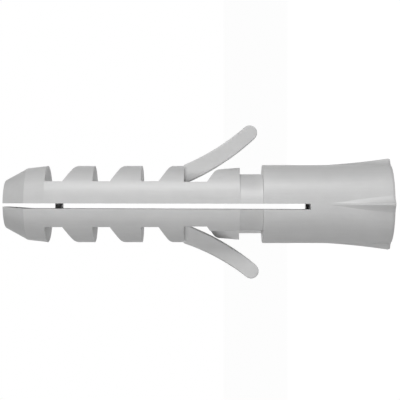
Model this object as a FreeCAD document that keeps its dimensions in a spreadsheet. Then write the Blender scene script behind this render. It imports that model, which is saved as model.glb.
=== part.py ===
import FreeCAD, Part
import math
import os
import re
import Sketcher

# Nylon expansion plug, one injection moulding.
# It stands on its collar: the collar mouth is at Z = 0 and the nose points up.
# The mould opens along Y, so the slot, the notches and the tongues are straight along Y,
# and each recess that a tongue folds into is open towards one mould half.
# Sizes are in millimetres and degrees.

SIZES = {
    # Lengths along the plug, in order from the mouth to the nose
    "flare_length": 9.1,
    "sleeve_length": 16.67,
    "neck_length": 2.95,
    "fifth_tooth_length": 7.15,
    "fourth_tooth_length": 5.45,
    "third_tooth_length": 6.18,
    "second_tooth_length": 6.11,
    "head_length": 2.59,
    "nose_length": 2.9,
    # Radius of the teeth, and how far the other round parts stand out of it or stay inside it
    "tooth_radius": 4.97,
    "sleeve_step": 0.12,
    "collar_step": 0.13,
    "shoulder_step": 0.3,
    "nose_radius": 3.09,
    # Four ridges that rise out of the collar and grip the hole's rim
    "ridge_count": 4,
    "ridge_height": 0.71,
    "ridge_half_width": 1.4,
    "ridge_middle_height": 0.24,
    "ridge_middle_half_width": 0.95,
    "ridge_start_half_width": 0.4,
    "ridge_crest_half_width": 0.12,
    "ridge_sink": 0.04,
    # Narrow sloping band round the rim
    "rim_band": 0.3,
    "rim_step": 0.1,
    # Flat floor behind the back of each tooth
    "first_floor_length": 2.26,
    "second_floor_length": 2.2,
    "third_floor_length": 2.23,
    "fourth_floor_length": 2.94,
    "floor_distance": 2.92,
    "fourth_floor_step": 0.07,
    # Ramp from a floor up to the next tooth
    "ramp_angle": 55.0,
    "crown_round": 1.05,
    "crown_lap": 0.03,
    "fifth_crown_step": 0.49,
    "fifth_slope": 4.7,
    # Waist between the fifth tooth and the sleeve, as deep as the teeth only beside the slot
    "neck_step": 0.86,
    "neck_shallow_step": 0.03,
    # Two tongues that spread and keep the plug from turning in its hole
    "tongue_thickness": 2.8,
    "tongue_root_step": 0.12,
    "tongue_root_lap": 0.21,
    "tongue_root_depth": 0.6,
    "tongue_root_slant": 0.8,
    "tongue_taper": 1.0,
    "tongue_tip_radius": 0.97,
    "upper_tongue_spread": 4.24,
    "upper_tongue_reach": 8.45,
    "upper_tongue_angle": 41.8,
    "lower_tongue_spread": 3.7,
    "lower_tongue_reach": 8.65,
    "lower_tongue_angle": 39.0,
    # Recesses that the tongues fold into
    "tongue_clearance": 0.2,
    "recess_distance": 3.4,
    # Slot that splits the plug, a little to one side of its axis
    "slot_end": 10.7,
    "slot_end_above_axis": 0.04,
    "slot_end_width": 0.72,
    "slot_nose_above_axis": 0.11,
    "slot_shoulder_width": 0.66,
    "slot_nose_width": 0.43,
    # Thin tie that holds the two halves together behind the nose
    "tie_behind_nose": 6.48,
    "tie_length": 0.88,
    "tie_thickness": 1.6,
    "tie_lap": 0.3,
    # Screw hole, with solid nylon ahead of its narrow channel
    "mouth_chamfer": 0.35,
    "entry_radius": 3.1,
    "entry_depth": 12.0,
    "entry_cone_length": 4.0,
    "channel_radius": 1.6,
    "channel_tip_radius": 1.1,
    "channel_point_length": 0.8,
    "solid_nose_length": 8.2,
    # Moulded edge rounds
    "nose_round": 0.2,
    "sleeve_round": 0.1,
    "tongue_round": 0.15,
    "tongue_root_round": 0.6,
    # How far every cut runs past the teeth
    "overcut": 3.0,
}

# Sizes and places that follow from the ones above
FOLLOWS = {
    "neck_top": "sleeve_length + neck_length",
    "fourth_back": "neck_top + fifth_tooth_length",
    "third_back": "fourth_back + fourth_tooth_length",
    "second_back": "third_back + third_tooth_length",
    "first_back": "second_back + second_tooth_length",
    "shoulder": "first_back + head_length",
    "nose": "shoulder + nose_length",
    "sleeve_radius": "tooth_radius + sleeve_step",
    "collar_radius": "sleeve_radius + collar_step",
    "middle_radius": "(collar_radius + sleeve_radius) / 2",
    "fourth_floor_distance": "floor_distance - fourth_floor_step",
    "neck_distance": "tooth_radius - neck_step",
    "neck_depth": "tooth_radius - neck_shallow_step",
    "neck_side_radius": "(neck_distance^2 + neck_depth^2) / (2 * neck_distance)",
    "tongue_root_outer": "tooth_radius + tongue_root_step",
    "tongue_root_inner": "fourth_floor_distance - tongue_root_lap",
    "recess_wall": "tongue_thickness / 2 + tongue_clearance",
    "recess_top": "fourth_back - fourth_floor_length / 2",
    "tie_top": "nose - tie_behind_nose",
    "channel_end": "nose - solid_nose_length",
    "outside": "tooth_radius + overcut",
}

# Two places closer than this are the same place
NEAR = 0.001

document = FreeCAD.newDocument("ExpansionPlug")
sheet = document.addObject("Spreadsheet::Sheet", "Sizes")
for row, (size_name, number) in enumerate(SIZES.items(), start=1):
    sheet.set(f"A{row}", size_name)
    sheet.set(f"B{row}", str(number))
    sheet.setAlias(f"B{row}", size_name)
document.recompute()

plug = document.addObject("PartDesign::Body", "ExpansionPlug")
plug.Label = "expansion_plug"


def tied(rule):
    """Write a rule in words as an expression on the sheet's cells."""
    def expand(word):
        name = word[0]
        if name in FOLLOWS:
            return f"({tied(FOLLOWS[name])})"
        return f"Sizes.{name}" if name in SIZES else name
    return re.sub(r"[a-z_]+", expand, rule)


def measured(rule):
    return float(plug.evalExpression(tied(rule)))


def origin_part(role):
    return next(part for part in plug.Origin.OriginFeatures if part.Role == role)


def arc_between(start, end, radius):
    """Arc of under half a turn, to the left of its chord for a positive radius."""
    chord = end - start
    half = chord.Length / 2
    offset = math.copysign(math.sqrt(max(radius * radius - half * half, 0.0)), radius)
    left = FreeCAD.Vector(-chord.y, chord.x, 0).normalize()
    centre = (start + end) * 0.5 + left * offset
    first, last = (start, end) if radius > 0 else (end, start)
    angles = [math.atan2(point.y - centre.y, point.x - centre.x) for point in (first, last)]
    circle = Part.Circle(centre, FreeCAD.Vector(0, 0, 1), abs(radius))
    return Part.ArcOfCircle(circle, angles[0], angles[1])


def fix_corner(sketch, edge, end, rules, place):
    """Hold one end of an edge at the distances from the origin that its rules give."""
    for kind, axis, rule, distance in (
        ("DistanceX", -2, rules[0], place.x),
        ("DistanceY", -1, rules[1], place.y),
    ):
        if rule == "0":
            sketch.addConstraint(Sketcher.Constraint("PointOnObject", edge, end, axis))
            continue
        number = sketch.addConstraint(Sketcher.Constraint(kind, -1, 1, edge, end, distance))
        sketch.setExpression(f"Constraints[{number}]", tied(rule))


def outline(name, plane, corners, lift="0"):
    """Closed sketch through the corners; a corner's third word bends the edge that reaches it."""
    sketch = plug.newObject("Sketcher::SketchObject", name)
    sketch.AttachmentSupport = (origin_part(plane), [""])
    sketch.MapMode = "FlatFace"
    if lift != "0":
        sketch.setExpression("AttachmentOffset.Base.z", tied(lift))
    places = [FreeCAD.Vector(measured(corner[0]), measured(corner[1]), 0) for corner in corners]
    ends = []
    for edge, corner in enumerate(corners):
        start, end = places[edge - 1], places[edge]
        bend = measured(corner[2]) if len(corner) > 2 else 0
        shape = arc_between(start, end, bend) if bend else Part.LineSegment(start, end)
        sketch.addGeometry(shape, False)
        ends.append((2, 1) if bend < 0 else (1, 2))
        if bend:
            number = sketch.addConstraint(Sketcher.Constraint("Radius", edge, abs(bend)))
            sketch.setExpression(f"Constraints[{number}]", tied(corner[2].lstrip("-")))
    for edge, corner in enumerate(corners):
        after = (edge + 1) % len(corners)
        joint = Sketcher.Constraint("Coincident", edge, ends[edge][1], after, ends[after][0])
        sketch.addConstraint(joint)
        fix_corner(sketch, edge, ends[edge][1], corner, places[edge])
    return sketch


def feature(kind, name, profile, **settings):
    """Add one PartDesign feature; sizes come as rules in words, other settings as values."""
    made = plug.newObject(f"PartDesign::{kind}", name)
    made.Profile = profile
    for setting, value in settings.items():
        if setting == "Length":
            made.setExpression(setting, tied(value))
        else:
            setattr(made, setting, value)
    document.recompute()
    return made


def turned(kind, name, profile):
    return feature(kind, name, profile, ReferenceAxis=(profile, ["V_Axis"]), Angle=360.0)


def through_cut(name, profile):
    return feature("Pocket", name, profile, Length="2 * outside", SideType="Symmetric")


def around_axis(name, originals, count):
    """Repeat features in equal turns about the plug's axis."""
    pattern = plug.newObject("PartDesign::PolarPattern", name)
    pattern.Originals = originals
    pattern.Axis = (origin_part("Z_Axis"), [""])
    pattern.Angle = 360.0
    pattern.setExpression("Occurrences", tied(count))
    plug.Tip = pattern
    document.recompute()
    return pattern


def add_round_body():
    """Collar, sleeve, toothed length and nose as one turned solid."""
    profile = outline("RoundProfile", "XZ_Plane", [
        ("0", "0"),
        ("collar_radius - rim_step", "0"),
        ("collar_radius", "rim_band"),
        ("sleeve_radius", "flare_length"),
        ("sleeve_radius", "sleeve_length"),
        ("tooth_radius", "sleeve_length"),
        ("tooth_radius", "first_back"),
        ("tooth_radius - shoulder_step", "shoulder"),
        ("nose_radius", "nose"),
        ("0", "nose"),
    ])
    turned("Revolution", "RoundBody", profile)


def ridge_section(name, crest, base, half_width, lift):
    """Narrow crest with two hollow flanks that run out on a circle just under the surface."""
    inward = f"sqrt(({base})^2 - {half_width}^2)"
    lean = f"((({crest}) * {inward} + ridge_crest_half_width * {half_width}) / ({base}))"
    flank = (
        f"(2 * ({base}) * {lean} - ({base})^2 - ({crest})^2 - ridge_crest_half_width^2)"
        f" / (2 * (({base}) - {lean}))"
    )
    return outline(name, "XY_Plane", [
        (inward, f"-{half_width}"),
        (crest, "-ridge_crest_half_width", f"-({flank})"),
        (crest, "ridge_crest_half_width"),
        (inward, half_width, f"-({flank})"),
    ], lift)


def add_ridges():
    """Ridges that grow out of the sleeve towards the rim, each with a short sloping end."""
    start = ridge_section(
        "RidgeStart", "sleeve_radius - ridge_sink", "sleeve_radius - 3 * ridge_sink",
        "ridge_start_half_width", "flare_length")
    middle = ridge_section(
        "RidgeMiddle", "middle_radius + ridge_middle_height", "middle_radius - ridge_sink",
        "ridge_middle_half_width", "flare_length / 2")
    tip = ridge_section(
        "RidgeTip", "collar_radius + ridge_height", "collar_radius - ridge_sink",
        "ridge_half_width", "rim_band")
    end = ridge_section(
        "RidgeEnd", "collar_radius + ridge_height - rim_step",
        "collar_radius - ridge_sink - rim_step", "ridge_half_width", "0")
    ridge = feature("AdditiveLoft", "Ridge", tip, Sections=[middle, start])
    band = feature("AdditiveLoft", "RidgeBand", end, Sections=[tip])
    around_axis("Ridges", [ridge, band], "ridge_count")


def cut_notch(name, back, floor, floor_length, crown, slope="0", slope_end=None):
    """Notch with a square back, a flat floor, a steep ramp and a rounded crown."""
    ramp_top = f"({crown}) - crown_round * (cos({slope}) - cos(ramp_angle))"
    ramp_foot = f"{back} - {floor_length}"
    ramp_end = f"{ramp_foot} - ({ramp_top} - {floor}) / tan(ramp_angle)"
    crown_end = f"{ramp_end} - crown_round * (sin(ramp_angle) - sin({slope}))"
    corners = [
        (floor, back),
        (floor, ramp_foot),
        (ramp_top, ramp_end),
        (crown, crown_end, "-crown_round"),
    ]
    if slope_end is None:
        corners.append(("outside", crown_end))
    else:
        corners.append((f"({crown}) + ({crown_end} - {slope_end}) * tan({slope})", slope_end))
        corners.append(("outside", slope_end))
    corners.append(("outside", back))
    return through_cut(name, outline(f"{name}Profile", "XZ_Plane", corners))


def cut_neck():
    """Narrow one side of the waist with an arc that ends where the slot comes."""
    profile = outline("NeckProfile", "XY_Plane", [
        ("0", "-outside"),
        ("0", "-neck_depth"),
        ("0", "neck_depth", "neck_side_radius"),
        ("0", "outside"),
        ("outside", "outside"),
        ("outside", "-outside"),
    ], "neck_top")
    return feature("Pocket", "Neck", profile, Length="neck_length")


def cut_recess():
    """Clear the way of a folded tongue, leaving a wall on one side of it."""
    profile = outline("RecessProfile", "XY_Plane", [
        ("recess_distance", "-recess_wall"),
        ("outside", "-recess_wall"),
        ("outside", "outside"),
        ("recess_distance", "outside"),
    ], "recess_top")
    return feature("Pocket", "Recess", profile, Length="recess_top - sleeve_length")


def cut_both_sides():
    """Notches, waist and recess on one side, and again half a turn round."""
    crown = "tooth_radius + crown_lap"
    cuts = []
    for name in ("first", "second", "third"):
        cuts.append(cut_notch(
            f"{name.title()}Notch", f"{name}_back", "floor_distance", f"{name}_floor_length", crown))
    cuts.append(cut_notch(
        "FourthNotch", "fourth_back", "fourth_floor_distance", "fourth_floor_length",
        "tooth_radius - fifth_crown_step", "fifth_slope", "neck_top"))
    cuts.append(cut_neck())
    cuts.append(cut_recess())
    around_axis("BothSides", cuts, "2")


def bend_into_tip(root, spread, drop, angle):
    """Radius of the arc from a root corner that runs smoothly into the tongue's round tip."""
    width = f"({spread} - {root})"
    turn = f"({drop} * sin({angle}) - {width} * cos({angle}))"
    return f"(({width}^2 + {drop}^2) / (2 * {turn}))"


def add_tongue(name, side):
    """Curved tapering strip with a round tip; side is + above the axis and - below it."""
    angle = f"{name}_tongue_angle"
    outer_angle = f"({angle} - tongue_taper)"
    inner_angle = f"({angle} + tongue_taper)"
    tip_x = f"tooth_radius + {name}_tongue_spread"
    tip_drop = f"{name}_tongue_reach"
    outer_x = f"{tip_x} + tongue_tip_radius * cos({outer_angle})"
    outer_drop = f"({tip_drop} - tongue_tip_radius * sin({outer_angle}))"
    inner_x = f"{tip_x} - tongue_tip_radius * cos({inner_angle})"
    inner_drop = f"({tip_drop} + tongue_tip_radius * sin({inner_angle}))"
    end_x = f"{tip_x} + tongue_tip_radius * sin({angle})"
    end_drop = f"({tip_drop} + tongue_tip_radius * cos({angle}))"
    outer_bend = bend_into_tip("tongue_root_outer", outer_x, outer_drop, outer_angle)
    inner_bend = bend_into_tip("tongue_root_inner", inner_x, inner_drop, inner_angle)
    back = "+" if side == "-" else "-"
    corners = [
        ("tongue_root_inner - tongue_root_slant", "fourth_back + tongue_root_depth"),
        ("tongue_root_outer - tongue_root_slant", "fourth_back + tongue_root_depth"),
        ("tongue_root_outer", "fourth_back"),
        (outer_x, f"fourth_back - {outer_drop}", f"{side}{outer_bend}"),
        (end_x, f"fourth_back - {end_drop}", f"{back}tongue_tip_radius"),
        (inner_x, f"fourth_back - {inner_drop}", f"{back}tongue_tip_radius"),
        ("tongue_root_inner", "fourth_back", f"{back}{inner_bend}"),
    ]
    corners = [(f"{side}({corner[0]})", *corner[1:]) for corner in corners]
    profile = outline(f"{name.title()}TongueProfile", "XZ_Plane", corners)
    feature("Pad", f"{name.title()}Tongue", profile, Length="tongue_thickness", SideType="Symmetric")


def cut_bore():
    """Screw hole: a round entry, a cone and a narrow tapering channel with a blind end."""
    profile = outline("BoreProfile", "XZ_Plane", [
        ("0", "0"),
        ("entry_radius + mouth_chamfer", "0"),
        ("entry_radius", "mouth_chamfer"),
        ("entry_radius", "entry_depth"),
        ("channel_radius", "entry_depth + entry_cone_length"),
        ("channel_tip_radius", "channel_end - channel_point_length"),
        ("0", "channel_end"),
    ])
    turned("Groove", "Bore", profile)


def cut_slot():
    """Slot right through along Y, narrower in the nose."""
    profile = outline("SlotProfile", "XZ_Plane", [
        ("slot_end_above_axis", "slot_end"),
        ("slot_nose_above_axis", "nose"),
        ("slot_nose_above_axis", "nose + overcut"),
        ("slot_nose_above_axis - slot_nose_width", "nose + overcut"),
        ("slot_nose_above_axis - slot_nose_width", "nose"),
        ("slot_nose_above_axis - slot_shoulder_width", "shoulder"),
        ("slot_end_above_axis - slot_end_width", "slot_end"),
    ])
    through_cut("Slot", profile)


def add_tie():
    """Small web across the slot, deep inside it."""
    bottom = "slot_nose_above_axis - slot_shoulder_width - tie_lap"
    top = "slot_nose_above_axis + tie_lap"
    profile = outline("TieProfile", "XZ_Plane", [
        (bottom, "tie_top - tie_length"),
        (top, "tie_top - tie_length"),
        (top, "tie_top"),
        (bottom, "tie_top"),
    ])
    feature("Pad", "Tie", profile, Length="tie_thickness", SideType="Symmetric")


def points_on(edge):
    first, last = edge.ParameterRange
    return [edge.valueAt(place) for place in (first, (first + last) / 2, last)]


def level_with(edge, height):
    return all(abs(point.z - measured(height)) < NEAR for point in points_on(edge))


def on_tongue_side(edge):
    side = measured("tongue_thickness / 2")
    return all(abs(abs(point.y) - side) < NEAR for point in points_on(edge))


def rounded(name, radius, wanted):
    """Round the edges that a test picks."""
    base = plug.Tip
    numbers = [number for number, edge in enumerate(base.Shape.Edges, start=1) if wanted(edge)]
    fillet = plug.newObject("PartDesign::Fillet", name)
    fillet.Base = (base, [f"Edge{number}" for number in numbers])
    fillet.setExpression("Radius", tied(radius))
    document.recompute()


def round_tongue_edges():
    """Round the bent edges of both tongues."""
    rounded("TongueEdges", "tongue_round", lambda edge: (
        on_tongue_side(edge) and isinstance(edge.Curve, Part.Circle)))


def round_tongue_roots():
    """Hollow corners where each side of a tongue leaves the back of the fourth tooth."""
    for tongue, across in (("Upper", 1), ("Lower", -1)):
        for face, along in (("Near", -1), ("Far", 1)):
            rounded(f"{tongue}{face}Root", "tongue_root_round", lambda edge: (
                level_with(edge, "fourth_back") and on_tongue_side(edge)
                and points_on(edge)[1].x * across > 0 and points_on(edge)[1].y * along > 0))


def round_circle(name, radius, height, circle_radius):
    """Round the outer edge of a flat face of the turned shape."""
    rounded(name, radius, lambda edge: (
        level_with(edge, height)
        and abs(math.hypot(*points_on(edge)[1][:2]) - measured(circle_radius)) < NEAR))


add_round_body()
add_ridges()
cut_both_sides()
add_tongue("upper", "+")
add_tongue("lower", "-")
round_tongue_edges()
round_tongue_roots()
cut_bore()
cut_slot()
round_circle("SleeveEdge", "sleeve_round", "sleeve_length", "sleeve_radius")
round_circle("NoseEdge", "nose_round", "nose", "nose_radius")
add_tie()
document.recompute()

for item in document.Objects:
    if "Invalid" in item.State or "Error" in item.State:
        raise RuntimeError(f"{item.Label} did not build: {item.State}")
if plug.Shape.isNull() or not plug.Shape.isValid():
    raise RuntimeError(f"{plug.Label} has no valid shape")

os.makedirs("parts", exist_ok=True)
plug.Shape.exportStep(f"parts/{plug.Label}.step")
print(plug.Label, "volume", round(plug.Shape.Volume, 2), "solids", len(plug.Shape.Solids))
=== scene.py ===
import math

import bpy
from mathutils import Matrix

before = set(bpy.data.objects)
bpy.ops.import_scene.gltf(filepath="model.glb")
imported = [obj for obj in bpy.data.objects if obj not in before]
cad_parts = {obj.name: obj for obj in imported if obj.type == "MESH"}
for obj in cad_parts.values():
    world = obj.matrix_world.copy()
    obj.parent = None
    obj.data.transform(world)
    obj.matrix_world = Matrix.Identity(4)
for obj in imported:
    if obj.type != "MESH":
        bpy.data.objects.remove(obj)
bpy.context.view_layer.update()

# Camera. It looks straight across the plug near the middle of its length, along +Y, and it is
# turned on its side, so that the standing plug lies across the picture with its nose to the left.
# It stands close enough for the square backs of the teeth to show.
PHOTO_WIDTH = 400
PIXELS_PER_METRE = 7670
CAMERA_DISTANCE = 0.163
NEAREST_SEEN = 0.01
PRINCIPAL_COLUMN, PRINCIPAL_ROW = 210, 200
RIM_COLUMN, AXIS_ROW = 389.8, 204.05
SENSOR_WIDTH_MM = 36

camera_data = bpy.data.cameras.new("camera")
camera_data.sensor_width = SENSOR_WIDTH_MM
camera_data.lens = CAMERA_DISTANCE * PIXELS_PER_METRE / PHOTO_WIDTH * SENSOR_WIDTH_MM
camera_data.shift_x = 0.5 - PRINCIPAL_COLUMN / PHOTO_WIDTH
camera_data.clip_start = NEAREST_SEEN
camera = bpy.data.objects.new("camera", camera_data)
camera.location = (
    (AXIS_ROW - PRINCIPAL_ROW) / PIXELS_PER_METRE,
    -CAMERA_DISTANCE,
    (RIM_COLUMN - PRINCIPAL_COLUMN) / PIXELS_PER_METRE,
)
camera.rotation_euler = (math.radians(90), math.radians(90), 0)
bpy.context.scene.collection.objects.link(camera)
bpy.context.scene.camera = camera
bpy.context.scene.view_settings.view_transform = "Standard"


# Plug. One injection moulding of light grey polyamide 6, from a finely eroded steel mould.
# That gives the eye a satin, slightly cloudy skin with soft broad highlights, faint flow marks
# along the plug, and a fine raised line all round where the mould's two halves met.
def linear(hex_colour):
    """Turn an sRGB hex colour to linear RGBA."""
    channels = [int(hex_colour[start:start + 2], 16) / 255 for start in (1, 3, 5)]
    return [c / 12.92 if c <= 0.04045 else ((c + 0.055) / 1.055) ** 2.4 for c in channels] + [1.0]


def add_node(tree, kind, settings=None, values=None, links=None):
    """Add a node with its settings, its fixed socket values and its incoming links."""
    node = tree.nodes.new(kind)
    for name, value in (settings or {}).items():
        setattr(node, name, value)
    for socket, value in (values or {}).items():
        node.inputs[socket].default_value = value
    for socket, source in (links or {}).items():
        tree.links.new(source, node.inputs[socket])
    return node


def add_noise(tree, place, size, detail, roughness):
    """Blotches of about one size, from nought to one."""
    return add_node(
        tree, "ShaderNodeTexNoise", values={"Scale": 1 / size, "Detail": detail, "Roughness": roughness},
        links={"Vector": place}).outputs["Fac"]


NYLON_GREY = "#D0D0D0"
NYLON_CLOUDY = "#C4C4C4"
NYLON_IOR = 1.53
NYLON_GLOSS = 0.4
MILKINESS = 0.15
MILK_DEPTH = (0.0012, 0.0012, 0.0011)
CLOUD_SIZE = 0.003
STREAK_WIDTH = 0.00035
STREAK_LENGTH = 0.009
STREAK_SHARE = 0.5
SMOOTHEST, ROUGHEST = 0.36, 0.46
GRIT_SIZE = 0.00012
GRIT_DEPTH = 0.000005
# The real line is a third as wide; it is drawn this coarse so that it shows
PARTING_LINE_HALF_WIDTH = 0.0001
PARTING_LINE_HEIGHT = 0.00003

nylon = bpy.data.materials.new("moulded_nylon")
nylon.use_nodes = True
tree = nylon.node_tree
tree.nodes.clear()
place = add_node(tree, "ShaderNodeTexCoord").outputs["Object"]
clouds = add_noise(tree, place, CLOUD_SIZE, detail=3, roughness=0.5)
along_plug = add_node(
    tree, "ShaderNodeMapping",
    values={"Scale": (1 / STREAK_WIDTH, 1 / STREAK_WIDTH, 1 / STREAK_LENGTH)}, links={"Vector": place})
streaks = add_noise(tree, along_plug.outputs["Vector"], size=1, detail=2, roughness=0.5)
centred_streaks = add_node(
    tree, "ShaderNodeMath", {"operation": "MULTIPLY_ADD"}, {1: STREAK_SHARE, 2: -STREAK_SHARE / 2},
    {0: streaks})
flow_marks = add_node(
    tree, "ShaderNodeMath", {"operation": "ADD"}, links={0: centred_streaks.outputs[0], 1: clouds})
colour = add_node(
    tree, "ShaderNodeMix", {"data_type": "RGBA"}, {"A": linear(NYLON_CLOUDY), "B": linear(NYLON_GREY)},
    {"Factor": flow_marks.outputs[0]})
satin = add_node(
    tree, "ShaderNodeMapRange", values={"To Min": SMOOTHEST, "To Max": ROUGHEST},
    links={"Value": clouds})
grit = add_noise(tree, place, GRIT_SIZE, detail=2, roughness=0.6)
eroded = add_node(
    tree, "ShaderNodeBump", values={"Strength": 1.0, "Distance": GRIT_DEPTH}, links={"Height": grit})
here = add_node(tree, "ShaderNodeSeparateXYZ", links={"Vector": place})
from_parting = add_node(tree, "ShaderNodeMath", {"operation": "ABSOLUTE"}, links={0: here.outputs["Y"]})
parting_line = add_node(
    tree, "ShaderNodeMapRange", {"interpolation_type": "SMOOTHSTEP"},
    {"From Max": PARTING_LINE_HALF_WIDTH, "To Min": 1.0, "To Max": 0.0}, {"Value": from_parting.outputs[0]})
relief = add_node(
    tree, "ShaderNodeBump", values={"Strength": 1.0, "Distance": PARTING_LINE_HEIGHT},
    links={"Height": parting_line.outputs["Result"], "Normal": eroded.outputs["Normal"]})
surface = add_node(
    tree, "ShaderNodeBsdfPrincipled",
    values={"IOR": NYLON_IOR, "Specular IOR Level": NYLON_GLOSS, "Subsurface Weight": MILKINESS,
            "Subsurface Radius": MILK_DEPTH, "Subsurface Scale": 1.0},
    links={"Base Color": colour.outputs["Result"], "Roughness": satin.outputs["Result"],
           "Normal": relief.outputs["Normal"]})
add_node(tree, "ShaderNodeOutputMaterial", links={"Surface": surface.outputs["BSDF"]})

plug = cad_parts["expansion_plug"]
for slot in plug.material_slots:
    slot.material = nylon


# Floor. Plain and pale, and a hair under the rim so that the two faces don't fight.
# The camera, gloss and glass see it as white; to soft light it is a dark grey that throws little
# back up, and the plug's shadow shows on it.
def seen_as_background(tree):
    """One for a ray of the camera, of gloss or of glass, and nought for any other."""
    path = add_node(tree, "ShaderNodeLightPath")
    seen = path.outputs["Is Camera Ray"]
    for kind in ("Is Glossy Ray", "Is Transmission Ray"):
        seen = add_node(
            tree, "ShaderNodeMath", {"operation": "MAXIMUM"},
            links={0: seen, 1: path.outputs[kind]}).outputs[0]
    return seen


FLOOR_SIZE = 4
FLOOR_HEIGHT = -0.00002
FLOOR_GREY = "#585858"
FLOOR_WHITE = 0.975

bpy.ops.object.select_all(action="DESELECT")
bpy.ops.mesh.primitive_plane_add(size=FLOOR_SIZE, location=(0, 0, FLOOR_HEIGHT))
floor = bpy.context.object
floor.name = "floor"
paper = bpy.data.materials.new("white_paper")
paper.use_nodes = True
tree = paper.node_tree
tree.nodes.clear()
matt = add_node(tree, "ShaderNodeBsdfDiffuse", values={"Color": linear(FLOOR_GREY)})
white = add_node(tree, "ShaderNodeEmission", values={"Strength": FLOOR_WHITE})
both = add_node(tree, "ShaderNodeAddShader", links={0: matt.outputs[0], 1: white.outputs[0]})
shown = add_node(
    tree, "ShaderNodeMixShader",
    links={0: seen_as_background(tree), 1: matt.outputs[0], 2: both.outputs[0]})
add_node(tree, "ShaderNodeOutputMaterial", links={"Surface": shown.outputs[0]})
floor.data.materials.append(paper)

# Light. Soft upright lamps stand in an arc round the plug, low over the floor, so that the cone of
# the nose and the square backs of the teeth stay darker than the round sides. Only the key lamp
# shows in the gloss. A raised lamp behind lights the far side, and the world is dim and even.
LAMP_DISTANCE = 0.22
WORLD_DIM, WORLD_WHITE = 0.06, 1.0


def add_lamp(name, turn, width, bottom, top, watts, shines=True):
    """Upright lamp that faces the plug's axis, turned from the camera's side towards +X."""
    data = bpy.data.lights.new(name, "AREA")
    data.shape = "RECTANGLE"
    data.size = width
    data.size_y = top - bottom
    data.energy = watts
    lamp = bpy.data.objects.new(name, data)
    angle = math.radians(turn)
    across, towards = LAMP_DISTANCE * math.sin(angle), LAMP_DISTANCE * math.cos(angle)
    lamp.location = (across, -towards, (bottom + top) / 2)
    lamp.rotation_euler = (math.radians(90), 0, angle)
    lamp.visible_camera = False
    lamp.visible_glossy = shines
    bpy.context.scene.collection.objects.link(lamp)


add_lamp("key_lamp", turn=55, width=0.065, bottom=0.002, top=0.08, watts=0.265)
add_lamp("fill_lamp", turn=-17, width=0.09, bottom=0.002, top=0.046, watts=0.27, shines=False)
add_lamp("low_lamp", turn=-75, width=0.08, bottom=0.002, top=0.046, watts=0.015, shines=False)
add_lamp("back_lamp", turn=180, width=0.12, bottom=0.06, top=0.14, watts=0.3, shines=False)

# The camera, gloss and glass see the world as white too
world = bpy.data.worlds.new("studio")
bpy.context.scene.world = world
world.use_nodes = True
tree = world.node_tree
tree.nodes.clear()
dim = add_node(tree, "ShaderNodeBackground", values={"Color": linear("#FFFFFF"), "Strength": WORLD_DIM})
bright = add_node(
    tree, "ShaderNodeBackground", values={"Color": linear("#FFFFFF"), "Strength": WORLD_WHITE})
shown = add_node(
    tree, "ShaderNodeMixShader",
    links={0: seen_as_background(tree), 1: dim.outputs[0], 2: bright.outputs[0]})
add_node(tree, "ShaderNodeOutputWorld", links={"Surface": shown.outputs[0]})
